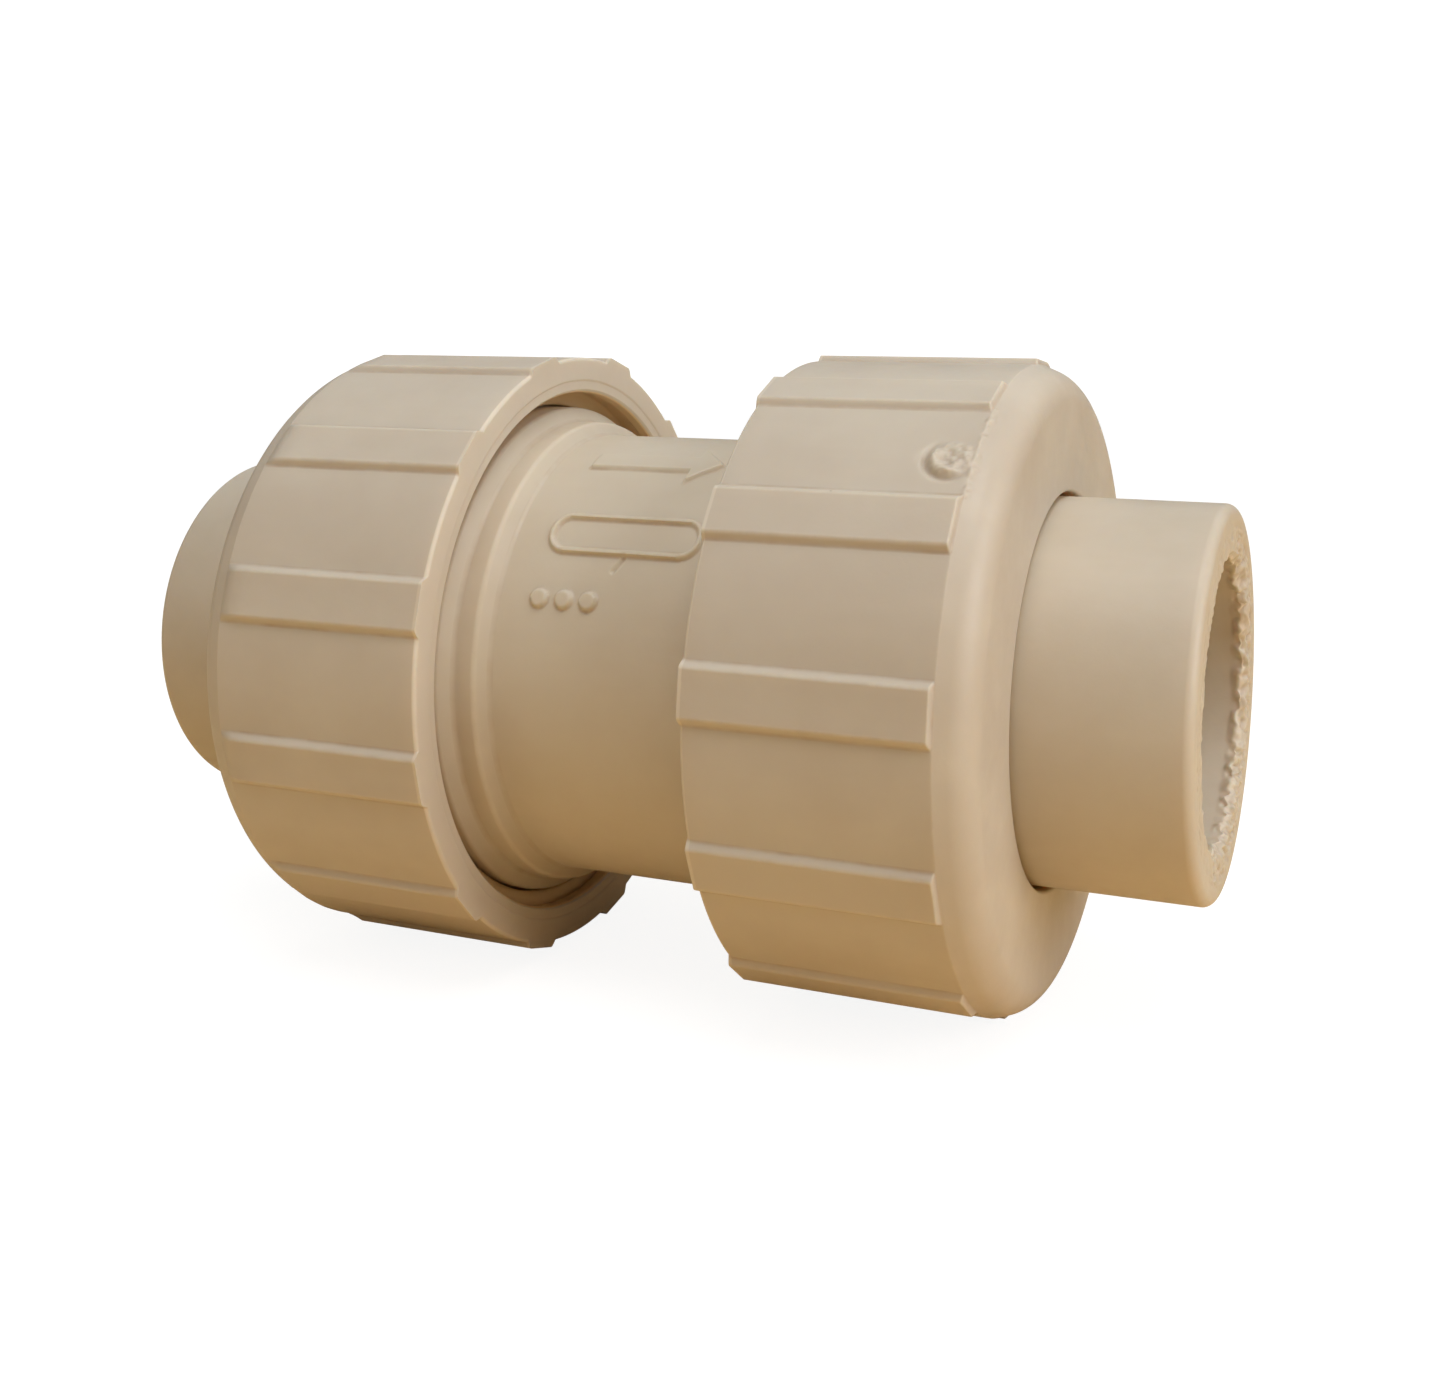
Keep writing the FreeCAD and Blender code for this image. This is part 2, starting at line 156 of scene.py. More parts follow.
# Connectors
FLANGE_R = 20.65
TAIL_R = 15.0
TAIL_ROUNDING = 0.8
SOCKET_R = 11.2
SOCKET_DEPTH = 17.5
WATERWAY_R = 9.2
LEAD_IN_R = 11.0
LEAD_IN = 2.0
FLANGE_GAP = 0.1          # between the flange and the nut's shoulder
CRUMB_DEPTH = 0.5         # deepest that the trimmed mouth is torn
CRUMB_MEAN = 0.20
CRUMB_SPREAD = 0.26
PATCH_SIZE = 9            # length of the torn and the cleaner stretches round the mouth
MOUTH_RAGGED = 0.32       # unevenness of the mouth's edge
MOUTH_BURR = 0.22         # how far that edge stands inwards on average

# Raised marks on the barrel
MARK_HEIGHT = 0.35
MARK_LEAST = 0.001        # a lift no higher than this is left out
MARK_TOP_EDGE = -0.16     # a mark's side slopes from here
MARK_FOOT_EDGE = 0.08     # to here, across its outline
MARK_REACH_X = 11.0
MARK_REACH_Z = 5.0
ARROW_ANGLE = 66.7
ARROW_TAIL_X = -5.1
ARROW_NECK_X = 3.7
ARROW_TIP_X = 6.3
ARROW_SHAFT_HALF = 1.05
ARROW_HEAD_HALF = 2.6
PANEL_ANGLE = 41.0
PANEL_CENTRE_X = 1.0
PANEL_LENGTH = 13.0
PANEL_WIDTH = 3.6
PANEL_BORDER = 0.5
PANEL_CORNER = 1.4
DOT_ANGLE = 23.8
DOT_R = 0.75
DOT_SPACING = 2.1
DOT_FIRST_X = -4.9
DOT_COUNT = 3

# Scratch on the barrel
SCRATCH_START_X = 1.45
SCRATCH_START_ANGLE = 35.2
SCRATCH_END_X = 0.8
SCRATCH_END_ANGLE = 31.6
SCRATCH_DEPTH = 0.16
SCRATCH_FLOOR_HALF = 0.04
SCRATCH_HALF = 0.26

# Return spring
SPRING_R = 4.6
SPRING_WIRE_R = 0.45
SPRING_FREE_TURNS = 6.0
SPRING_END_TURNS = 1.0
SPRING_END_PITCH = 2.1    # rise of one closed end turn, in wire radii
SPRING_STEPS = 48         # points in each turn
SPRING_SIDES = 14

# Grid spacing of the shells
ARC_TURN = math.radians(13)   # most that one edge of a rounding turns
ARC_CHORD = 0.09              # longest that such an edge is
DETAIL_STEP = 0.13
SHOULDER_STEP = 0.09
GATE_STEP = 0.15
CRUMB_STEP = 0.14
BODY_STEP = 1.0
NUT_STEP = 0.7
DRUM_STEP = 1.2
CONNECTOR_STEP = 1.3
MARKED_FROM = 15              # the raised marks lie between these angles
MARKED_TO = 78
MARKED_TURN = 0.4
BODY_TURN = 1.8
BAR_TURNS = ((-5.7, -3.5, 14), (-3.5, 3.5, 5), (3.5, 5.7, 14))    # from, to, count
DRUM_TURNS = 12
GATE_AROUND = (-11, 13)       # angles from the gate between which the grid is finer
GATE_TURN = 0.25
CONNECTOR_TURN = 0.75
FAR = 1e3                     # a distance that is never near

# Seeds of the rough patches
NUT_SEED = 21
CONNECTOR_SEED = {"inlet": 5, "outlet": 6}

# How strongly the tints are laid on: painted warm shade where surfaces lie hidden in the union,
# painted light on the nut's open end and the socket's wall
BODY_INSIDE_SHADE = 0.4
NUT_INSIDE_SHADE = 0.85
CONNECTOR_INSIDE_SHADE = 0.5
NUT_MOUTH_PAINTED_LIGHT = 0.27
SOCKET_PAINTED_LIGHT = 0.3
SHARP_ANGLE = 50.0            # edges that turn by more than this are shaded sharp
BEND_SEEN = (0.4, 2.6)        # bend, per millimetre, from which an edge counts, and counts fully

# Colours, linear
BODY_CREAM = (0.610, 0.525, 0.405, 1)
BODY_CREAM_WARM = (0.575, 0.480, 0.360, 1)
NUT_CREAM = (0.580, 0.500, 0.395, 1)
NUT_CREAM_WARM = (0.535, 0.450, 0.350, 1)
END_CREAM = (0.574, 0.492, 0.382, 1)
END_CREAM_WARM = (0.535, 0.450, 0.340, 1)
CPVC_STREAK = (0.72, 0.63, 0.50, 1)
# dark brown laid into concave creases
CPVC_CREASE_DARK = (0.36, 0.20, 0.075, 1)
CPVC_SCUFF = (0.80, 0.71, 0.57, 1)
CPVC_SPECK = (0.16, 0.11, 0.07, 1)
# painted warm shade for surfaces hidden in the union
CPVC_INSIDE_SHADE = (0.72, 0.50, 0.25, 1)
# painted light for the nut's open end and the socket's wall
CPVC_PAINTED_LIGHT = (0.86, 0.75, 0.60, 1)
ACETAL = (0.80, 0.79, 0.75, 1)
ACETAL_CLOUD = (0.72, 0.71, 0.66, 1)
ACETAL_FLOW = (0.62, 0.60, 0.54, 1)
RUBBER = (0.012, 0.012, 0.013, 1)
RUBBER_BLOOM = (0.045, 0.044, 0.043, 1)
STEEL = (0.58, 0.57, 0.55, 1)
STEEL_DULL = (0.46, 0.45, 0.43, 1)

# Stage and light
FLOOR_SEEN = (0.24, 0.235, 0.23, 1)
FLOOR_THROWN = (0.86, 0.61, 0.31, 1)
WALL_THROWN = (0.10, 0.10, 0.10, 1)
FLOOR_GLOW = 0.90
WALL_GLOW = 1.0
SOFTBOX_DISTANCE = 620.0


# ---------------------------------------------------------------- outlines

def smoothstep(low, high, value):
    share = np.clip((value - low) / (high - low), 0, 1)
    return share * share * (3 - 2 * share)


def hump(value, middle, width):
    """1 at the middle, falling to nothing on both sides."""
    return np.exp(-((value - middle) / width) ** 2)


def soft_min(a, b, blend):
    """Smaller of two heights, with the corner between them rounded."""
    overlap = np.maximum(blend - np.abs(a - b), 0) / blend
    return np.minimum(a, b) - overlap * overlap * blend / 4


def soft_max(a, b, blend):
    return -soft_min(-a, -b, blend)


def rounded(corners):
    """Points of a closed outline whose corners are (x, distance from the axis, rounding)."""
    points = []
    for index, (x, radius, rounding) in enumerate(corners):
        here = Vector((x, radius))
        if rounding == 0:
            points.append(here)
            continue
        back = (Vector(corners[index - 1][:2]) - here).normalized()
        ahead = (Vector(corners[(index + 1) % len(corners)][:2]) - here).normalized()
        half_angle = back.angle(ahead) / 2
        reach = rounding / math.tan(half_angle)
        centre = here + (back + ahead).normalized() * (rounding / math.sin(half_angle))
        first = here + back * reach - centre
        turn = first.angle_signed(here + ahead * reach - centre)
        steps = max(2, math.ceil(abs(turn) * max(1 / ARC_TURN, rounding / ARC_CHORD)))
        for step in range(steps + 1):
            angle = -turn * step / steps
            spoke = Vector((first.x * math.cos(angle) - first.y * math.sin(angle),
                            first.x * math.sin(angle) + first.y * math.cos(angle)))
            points.append(centre + spoke)
    return points


def divided(points, longest_at):
    """Halve the straight runs of an outline until none is longer than longest_at(x, radius)."""
    def halves(start, end):
        middle = (start + end) / 2
        if (end - start).length <= longest_at(middle.x, middle.y):
            return [start]
        return halves(start, middle) + halves(middle, end)

    result = []
    for index, point in enumerate(points):
        result += halves(point, points[(index + 1) % len(points)])
    return np.array(result)


# ---------------------------------------------------------------- meshes

def edge_bend(points, axis):
    """How sharply a grid of points bends along one of its directions, outward edges positive."""
    before = points - np.roll(points, 1, axis)
    after = np.roll(points, -1, axis) - points
    length_before = np.linalg.norm(before, axis=-1, keepdims=True) + 1e-6
    length_after = np.linalg.norm(after, axis=-1, keepdims=True) + 1e-6
    change = 2 * (after / length_after - before / length_before) / (length_before + length_after)
    along = np.roll(points, -1, 0) - np.roll(points, 1, 0)
    across = np.roll(points, -1, 1) - np.roll(points, 1, 1)
    normal = np.cross(along, across)
    normal /= np.linalg.norm(normal, axis=-1, keepdims=True) + 1e-9
    return -(change * normal).sum(-1)


def grid_object(name, points, inside, pale):
    """Closed mesh from a grid of points whose rows and columns both join up with themselves.

    inside tells for each row how much it lies hidden in the union, which sets its painted warm
    shade, and pale how much painted light it takes.
    """
    rows, columns = points.shape[:2]
    index = np.arange(rows * columns).reshape(rows, columns)
    next_row = np.roll(index, -1, 0)
    next_column = np.roll(index, -1, 1)
    next_both = np.roll(next_row, -1, 1)
    quads = np.stack([index, next_row, next_both, next_column], -1).reshape(-1, 4)
    mesh = bpy.data.meshes.new(name)
    mesh.vertices.add(rows * columns)
    mesh.vertices.foreach_set("co", (points * MM).ravel())
    mesh.loops.add(quads.size)
    mesh.loops.foreach_set("vertex_index", quads.ravel())
    mesh.polygons.add(len(quads))
    mesh.polygons.foreach_set("loop_start", np.arange(0, quads.size, 4))
    mesh.polygons.foreach_set("use_smooth", np.ones(len(quads), bool))
    mesh.update(calc_edges=True)
    mesh.set_sharp_from_angle(angle=math.radians(SHARP_ANGLE))
    bend = np.maximum(edge_bend(points, 0), edge_bend(points, 1))
    hollow = np.maximum(-edge_bend(points, 0), -edge_bend(points, 1))
    shades = {"edge": smoothstep(*BEND_SEEN, bend), "hollow": smoothstep(*BEND_SEEN, hollow)}
    shades["inside"] = np.repeat(inside[:, None], columns, 1)
    shades["pale"] = np.repeat(pale[:, None], columns, 1)
    for key, values in shades.items():
        attribute = mesh.attributes.new(key, "FLOAT", "POINT")
        attribute.data.foreach_set("value", values.astype(np.float32).ravel())
    piece = bpy.data.objects.new(name, mesh)
    bpy.context.scene.collection.objects.link(piece)
    return piece


def turned(outline, angles, side="outlet", shape=None):
    """Points of an outline turned round X, after shape(x, radius, angle) has moved them."""
    x = np.repeat(outline[:, :1], len(angles), 1)
    radius = np.repeat(outline[:, 1:], len(angles), 1)
    angle = np.repeat(angles[None, :], len(outline), 0)
    if shape:
        x, radius = shape(x, radius, angle)
    turn = np.radians(angle)
    points = np.stack([x, -radius * np.cos(turn), radius * np.sin(turn)], -1)
    if side == "inlet":
        points = points * np.array([-1.0, -1.0, 1.0])
    return points


def random_field(seed, cells=64):
    """Smooth repeatable noise from -1 to 1 over a plane, one cell to each unit."""
    table = np.random.default_rng(seed).uniform(-1, 1, (cells, cells))

    def value(u, v):
        column = np.floor(u).astype(int)
        row = np.floor(v).astype(int)
        across = smoothstep(0, 1, u - column)
        up = smoothstep(0, 1, v - row)
        corner = [[table[(row + i) % cells, (column + j) % cells] for j in (0, 1)] for i in (0, 1)]
        lower = corner[0][0] * (1 - across) + corner[0][1] * across
        upper = corner[1][0] * (1 - across) + corner[1][1] * across
        return lower * (1 - up) + upper * up

    return value


def ride(piece, body, slot, material, *nodes):
    piece.data.materials.append(material)
    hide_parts(*nodes)
    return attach(piece, body)


# ---------------------------------------------------------------- threads

def thread_share(x, angle, shift, first, last):
    """Distance along X from the nearest turn of the right-hand helix, and how far it has risen."""
    along = (x - MALE_FIRST_TURN_X - shift) / THREAD_PITCH + (angle - THREAD_START_ANGLE) / 360
    offset = (along - np.round(along)) * THREAD_PITCH
    turn_x = x - offset
    risen = (smoothstep(first - THREAD_FADE, first + THREAD_FADE, turn_x)
             * (1 - smoothstep(last - THREAD_FADE, last + THREAD_FADE, turn_x)))
    return np.abs(offset), risen


def trapezoid(offset, height, crest_half):
    """Height of a flat-crested thread at an offset from the middle of its crest."""
    flank = height - (offset - crest_half) / FLANK_SLOPE
    return soft_max(soft_min(flank, height, THREAD_BLEND), 0, THREAD_BLEND)


def male_thread_lift(x, angle):
    offset, risen = thread_share(x, angle, 0, MALE_FIRST_TURN_X, MALE_LAST_TURN_X)
    return trapezoid(offset, MALE_CREST_R - COLLAR_R, MALE_CREST_HALF) * risen


def female_thread_drop(x, angle, first, last):
    offset, risen = thread_share(x, angle, THREAD_PITCH / 2, first, last)
    return trapezoid(offset, FEMALE_MAJOR_R - FEMALE_MINOR_R, FEMALE_TIP_HALF) * risen


# ---------------------------------------------------------------- valve body

def arrow_distance(x, z):
    """Signed distance from the flow arrow's outline, negative inside."""
    upper = [(ARROW_TAIL_X, ARROW_SHAFT_HALF), (ARROW_NECK_X, ARROW_SHAFT_HALF),
             (ARROW_NECK_X, ARROW_HEAD_HALF), (ARROW_TIP_X, 0)]
    z = np.abs(z)
    distance = np.full(x.shape, FAR)
    for (ax, az), (bx, bz) in zip([(ARROW_TAIL_X, 0)] + upper, upper):
        run_x = bx - ax
        run_z = bz - az
        share = np.clip(((x - ax) * run_x + (z - az) * run_z) / (run_x ** 2 + run_z ** 2), 0, 1)
        distance = np.minimum(distance, np.hypot(x - ax - share * run_x, z - az - share * run_z))
    in_shaft = (x > ARROW_TAIL_X) & (x <= ARROW_NECK_X) & (z < ARROW_SHAFT_HALF)
    head_half = ARROW_HEAD_HALF * (ARROW_TIP_X - x) / (ARROW_TIP_X - ARROW_NECK_X)
    in_head = (x > ARROW_NECK_X) & (z < head_half)
    return np.where(in_shaft | in_head, -distance, distance)


def panel_distance(x, z):
    """Signed distance from the border of the blank panel."""
    reach_x = np.abs(x - PANEL_CENTRE_X) - (PANEL_LENGTH - PANEL_BORDER) / 2 + PANEL_CORNER
    reach_z = np.abs(z) - (PANEL_WIDTH - PANEL_BORDER) / 2 + PANEL_CORNER
    outside = np.hypot(np.maximum(reach_x, 0), np.maximum(reach_z, 0))
    box = outside + np.minimum(np.maximum(reach_x, reach_z), 0) - PANEL_CORNER
    return np.abs(box) - PANEL_BORDER / 2


def dots_distance(x, z):
    distance = np.full(x.shape, FAR)
    for index in range(DOT_COUNT):
        centre_x = DOT_FIRST_X + index * DOT_SPACING
        distance = np.minimum(distance, np.hypot(x - centre_x, z) - DOT_R)
    return distance


def marks_lift(x, angle):
    """Height of the arrow, the panel's border and the dots above the barrel."""
    lift = np.zeros(x.shape)
    for centre, distance in ((ARROW_ANGLE, arrow_distance), (PANEL_ANGLE, panel_distance),
                             (DOT_ANGLE, dots_distance)):
        z = np.radians(angle - centre) * BARREL_R
        near = (np.abs(z) < MARK_REACH_Z) & (np.abs(x) < MARK_REACH_X)
        apart = np.where(near, distance(x, z), FAR)
        share = 1 - smoothstep(MARK_TOP_EDGE, MARK_FOOT_EDGE, apart)
        lift = np.maximum(lift, MARK_HEIGHT * share)
    return lift


def scratch_drop(x, angle):
    """Depth of the short scratch below the panel."""
    start = Vector((SCRATCH_START_X, math.radians(SCRATCH_START_ANGLE) * BARREL_R))
    run = Vector((SCRATCH_END_X, math.radians(SCRATCH_END_ANGLE) * BARREL_R)) - start
    along = x - start.x
    up = np.radians(angle) * BARREL_R - start.y
    share = np.clip((along * run.x + up * run.y) / run.length_squared, 0, 1)
    distance = np.hypot(along - share * run.x, up - share * run.y)
    return SCRATCH_DEPTH * (1 - smoothstep(SCRATCH_FLOOR_HALF, SCRATCH_HALF, distance))


def body_outline():
    outside = [(BARREL_HALF, BARREL_R, 0.6), (STEP_START, STEP_R, 0.6), (STEP_END, STEP_R, 0.6),
               (COLLAR_START, COLLAR_R, 0.5), (BODY_HALF, COLLAR_R, 0.5)]
    groove_floor = BODY_HALF - GROOVE_DEPTH
    end_face = [(BODY_HALF, GROOVE_OUTER_R, 0.12), (groove_floor, GROOVE_OUTER_R, 0.12),
                (groove_floor, GROOVE_INNER_R, 0.12), (BODY_HALF, GROOVE_INNER_R, 0.12),
                (BODY_HALF, COUNTERBORE_R, 0.15)]
    outlet = outside + end_face
    inlet = [(-x, radius, rounding) for x, radius, rounding in reversed(outlet)]
    bore = [(SNAP_GROOVE_END, COUNTERBORE_R, 0.08), (SNAP_GROOVE_END, SNAP_GROOVE_R, 0.08),
            (SNAP_GROOVE_START, SNAP_GROOVE_R, 0.08), (SNAP_GROOVE_START, COUNTERBORE_R, 0.08),
            (OUTLET_STEP_X, COUNTERBORE_R, 0.1), (OUTLET_STEP_X, CAVITY_R, 0.1),
            (INLET_STEP_X, CAVITY_R, 0.1), (INLET_STEP_X, COUNTERBORE_R, 0.1)]

    def longest_at(x, radius):
        threaded = radius > COLLAR_R - 0.1 and abs(x) > MALE_FIRST_TURN_X - 2
        marked = radius > BARREL_R - 0.1 and abs(x) < BARREL_HALF + 0.3
        return DETAIL_STEP if threaded or marked else BODY_STEP

    return divided(rounded(outlet + bore + inlet), longest_at)


def body_shape(x, radius, angle):
    """Adds the threads, the raised marks and the scratch to the turned body."""
    on_thread = (radius > COLLAR_R - 0.02) & (np.abs(x) > COLLAR_START + 0.4)
    lift = np.where(on_thread & (x > 0), male_thread_lift(x, angle), 0)
    lift += np.where(on_thread & (x < 0), male_thread_lift(-x, 180 - angle), 0)
    outside = radius > BARREL_R - 0.05
    mark = marks_lift(x, angle)
    radius = np.where(outside & (mark > MARK_LEAST), np.maximum(radius, BARREL_R + mark), radius)
    lift -= np.where(outside, scratch_drop(x, angle), 0)
    return x, radius + lift


def make_body(material):
    fine = np.arange(MARKED_FROM, MARKED_TO, MARKED_TURN)
    coarse = np.arange(MARKED_TO, MARKED_FROM + 360, BODY_TURN)
    outline = body_outline()
    points = turned(outline, np.concatenate([fine, coarse]), shape=body_shape)
    x, radius = np.abs(outline).T
    # painted warm shade on the threaded ends, which lie hidden in the nuts
    inside = (radius > COLLAR_R - 0.4) * smoothstep(COLLAR_START + 0.4, COLLAR_START + 1.6, x)
    piece = grid_object("valve_body_shell", points, BODY_INSIDE_SHADE * inside, np.zeros(len(outline)))
    return ride(piece, "valve_body", "cpvc", material, "valve_body")


# ---------------------------------------------------------------- union nuts

def nut_outline(side):
    bearing_x = NUT_SHOULDER_X - NUT_SHOULDER
    edge_x = NUT_OPEN_X + SHOULDER_EDGE
    ridge_r = NUT_DRUM_R - (NUT_SHOULDER_X - edge_x) * math.tan(math.radians(SHOULDER_TILT))
    ledge_x = NUT_OPEN_X + MOUTH_LEDGE
    mouth = [(NUT_OPEN_X + MOUTH_LIP, NUT_MOUTH_R, 0.1), (NUT_OPEN_X + 0.4, NUT_MOUTH_R, 0.15),
             (ledge_x, NUT_MOUTH_R + 0.25, 0.1), (ledge_x, NUT_MOUTH_R + 0.95, 0.1),
             (NUT_OPEN_X, NUT_MOUTH_R + 1.1, 0.1)]
    drum = [(NUT_OPEN_X, NUT_DRUM_R, 0.3), (edge_x, NUT_DRUM_R, 0.4)]
    shoulder = [(NUT_SHOULDER_X, ridge_r, SHOULDER_ROUNDING), (NUT_SHOULDER_X, NUT_HOLE_R, 0.3),
                (bearing_x, NUT_HOLE_R, 0.15)]
    bore = [(bearing_x, FEMALE_MAJOR_R, 0.2), (NUT_OPEN_X + MOUTH_LIP + 0.3, FEMALE_MAJOR_R, 0.1)]

    def longest_at(x, radius):
        if FEMALE_MINOR_R < radius < FEMALE_MAJOR_R + 0.1 and x < bearing_x:
            return DETAIL_STEP
        if radius > NUT_DRUM_R - 1.95 and x > edge_x - 0.4:
            return SHOULDER_STEP
        if radius > NUT_DRUM_R - 0.1:
            return GATE_STEP if side == "outlet" and x > GATE_X - 2.5 else DRUM_STEP
        return NUT_STEP

    return divided(rounded(mouth + drum + shoulder + bore), longest_at)


def bars_lift(x, radius, angle, side):
    """Height of the grip bars above the drum, flat-topped, with sloping sides and an end wall."""
    pitch = 360 / BAR_COUNT
    turn = angle - BAR_PHASE[side]
    turn = np.radians(turn - np.round(turn / pitch) * pitch)
    across = np.abs(NUT_DRUM_R * np.sin(turn))
    side_height = (BAR_TOP_HALF - across) / BAR_SIDE_SLOPE + BAR_TOP_R - radius
    top_height = BAR_TOP_R / np.cos(turn) - BAR_TOP_SINK - radius
    end_height = (NUT_OPEN_X + BAR_LENGTH - x) / BAR_END_SLOPE + BAR_TOP_R - radius
    height = soft_min(soft_min(side_height, top_height, BAR_EDGE_BLEND), end_height, BAR_EDGE_BLEND)
    carried = smoothstep(NUT_DRUM_R - 1.2, NUT_DRUM_R - 0.3, radius)
    carried = np.where(x > NUT_OPEN_X + SHOULDER_EDGE - 1, 1, carried)
    return soft_max(height, 0, BAR_FOOT_BLEND) * carried


def gate_lift(x, angle, noise):
    """Stub of the moulding gate beside the shoulder, broken off rough, with a nick round it."""
    along = x - GATE_X
    up = np.radians(angle - GATE_ANGLE) * NUT_DRUM_R
    distance = np.hypot(along, up)
    low_x, low_up = GATE_LOW_SIDE
    towards_low = np.clip((low_x * along + low_up * up) / (distance + 0.2), -1, 1)
    crescent = smoothstep(-0.3, 0.8, towards_low)
    nick = GATE_NICK * hump(distance, GATE_NICK_R, 0.26) * (0.06 + 0.94 * crescent)
    lip = GATE_LIP * hump(distance, GATE_LIP_R, 0.34) * crescent
    rough = noise(along * 1.9 + 7, up * 1.9 + 7) + 0.6 * noise(along * 4.1 + 30, up * 4.1 + 30)
    on_stub = 1 - smoothstep(GATE_R - 0.5, GATE_R + 0.1, distance)
    return lip - nick + (GATE_STUB + GATE_ROUGH * rough) * on_stub


def flash_lift(x, angle, noise):
    """Ragged flash along the edge where the shoulder starts, near the gate."""
    near_edge = hump(x, NUT_OPEN_X + SHOULDER_EDGE + 0.15, 0.3)
    grows, grown, fades, faded = FLASH_NEAR_GATE
    near_gate = smoothstep(grows, grown, angle) * (1 - smoothstep(fades, faded, angle))
    ragged = noise(np.radians(angle) * NUT_DRUM_R * 1.3, x * 1.1)
    ragged += 0.5 * noise(np.radians(angle) * NUT_DRUM_R * 3.1, x * 2.3 + 11)
    return FLASH_HEIGHT * ragged * near_edge * (0.12 + 0.88 * near_gate)


def nut_angles(side):
    """Angles close together across each bar's sides and further apart elsewhere."""
    pitch = 360 / BAR_COUNT
    foot = BAR_TURNS[-1][1]
    spans = BAR_TURNS + ((foot, pitch - foot, DRUM_TURNS),)
    one = np.concatenate([np.linspace(start, end, count, False) for start, end, count in spans])
    angles = np.concatenate([one + BAR_PHASE[side] + pitch * index for index in range(BAR_COUNT)])
    if side == "outlet":
        start, end = (GATE_ANGLE + turn for turn in GATE_AROUND)
        outside = (angles < start) | (angles > end)
        angles = np.sort(np.concatenate([angles[outside], np.arange(start, end, GATE_TURN)]))
    return angles


def make_nut(side, material):
    noise = random_field(NUT_SEED)
    first = NUT_OPEN_X + FEMALE_START
    last = NUT_SHOULDER_X - NUT_SHOULDER - FEMALE_RUN_OUT

    def shape(x, radius, angle):
        """Adds the thread inside, and the bars, flash and gate stub outside."""
        in_bore = np.abs(radius - FEMALE_MAJOR_R) < 0.02
        radius = np.where(in_bore, radius - female_thread_drop(x, angle, first, last), radius)
        outer = radius > NUT_DRUM_R - 1.2
        by_shoulder = outer & (x > GATE_X - 3)
        lift = np.where(outer, bars_lift(x, radius, angle, side), 0)
        lift += np.where(by_shoulder, flash_lift(x, angle, noise), 0)
        if side == "outlet":
            lift += np.where(by_shoulder, gate_lift(x, angle, noise), 0)
        return x, radius + lift

    outline = nut_outline(side)
    points = turned(outline, nut_angles(side), side, shape)
    x, radius = outline.T
    # painted warm shade on the thread inside the nut
    inside = (radius < FEMALE_MAJOR_R + 0.1) & (x > NUT_OPEN_X + 0.3) & (x < NUT_SHOULDER_X - 0.35)
    # painted light on the nut's open end face
    open_end = x < NUT_OPEN_X + 0.25
    piece = grid_object(side + "_union_nut_shell", points, NUT_INSIDE_SHADE * inside,
                        NUT_MOUTH_PAINTED_LIGHT * open_end)
    return ride(piece, side + "_nut", "cpvc", material, side + "_union_nut")


# ---------------------------------------------------------------- end connectors

def connector_outline():
    flange_x = NUT_SHOULDER_X - NUT_SHOULDER - FLANGE_GAP
    stop_x = HALF_LENGTH - SOCKET_DEPTH
    corners = [(CONNECTOR_FACE_X, LEAD_IN_R, 0.2), (CONNECTOR_FACE_X, FLANGE_R, 0.3),
               (flange_x, FLANGE_R, 0.3), (flange_x, TAIL_R, 0.5),
               (HALF_LENGTH, TAIL_R, TAIL_ROUNDING), (HALF_LENGTH, SOCKET_R + 0.45, 0.15),
               (HALF_LENGTH - 0.45, SOCKET_R, 0.15), (stop_x, SOCKET_R, 0.3),
               (stop_x, WATERWAY_R, 0.3), (CONNECTOR_FACE_X + LEAD_IN, WATERWAY_R, 0.5)]

    def longest_at(x, radius):
        on_end = x > HALF_LENGTH - 1.6 and radius < TAIL_R - 0.5
        return CRUMB_STEP if on_end else CONNECTOR_STEP

    return divided(rounded(corners), longest_at)


def make_connector(side, material):
    seed = CONNECTOR_SEED[side]
    noise = random_field(seed)

    def shape(x, radius, angle):
        """The mouth of the socket is left ragged where it was trimmed."""
        around = np.radians(angle) * SOCKET_R
        strip = np.full(around.shape, seed)
        patches = smoothstep(-0.35, 0.25, noise(around / PATCH_SIZE + 3, strip))
        crumbs = noise(around * 1.7, radius * 1.9 + 5) + 0.7 * noise(around * 3.4, radius * 3.6 + 9)
        near_mouth = 1 - smoothstep(SOCKET_R + 1.6, SOCKET_R + 2.7, radius)
        near_mouth = near_mouth * smoothstep(HALF_LENGTH - 1.5, HALF_LENGTH - 0.4, x)
        depth = np.clip(CRUMB_MEAN + CRUMB_SPREAD * crumbs, 0, CRUMB_DEPTH)
        depth *= 0.25 + 0.75 * patches
        ragged = MOUTH_RAGGED * noise(around * 2.0, x * 1.2 + 17) * (0.3 + 0.7 * patches)
        at_edge = near_mouth * (1 - smoothstep(SOCKET_R + 0.5, SOCKET_R + 1.0, radius))
        return x - depth * near_mouth, radius + (ragged - MOUTH_BURR) * at_edge

    outline = connector_outline()
    points = turned(outline, np.arange(0, 360, CONNECTOR_TURN), side, shape)
    x, radius = outline.T
    # painted warm shade on the tail where it lies in the nut's hole
    inside = (radius > TAIL_R - 0.1) * (1 - smoothstep(NUT_SHOULDER_X - 0.6, NUT_SHOULDER_X, x))
    # painted light on the socket's wall
    socket = (radius < SOCKET_R + 0.2) & (x > HALF_LENGTH - SOCKET_DEPTH)
    piece = grid_object(side + "_end_connector_shell", points, CONNECTOR_INSIDE_SHADE * inside,
                        SOCKET_PAINTED_LIGHT * socket)
    return ride(piece, side + "_connector", "cpvc", material, side + "_end_connector")


# ---------------------------------------------------------------- return spring

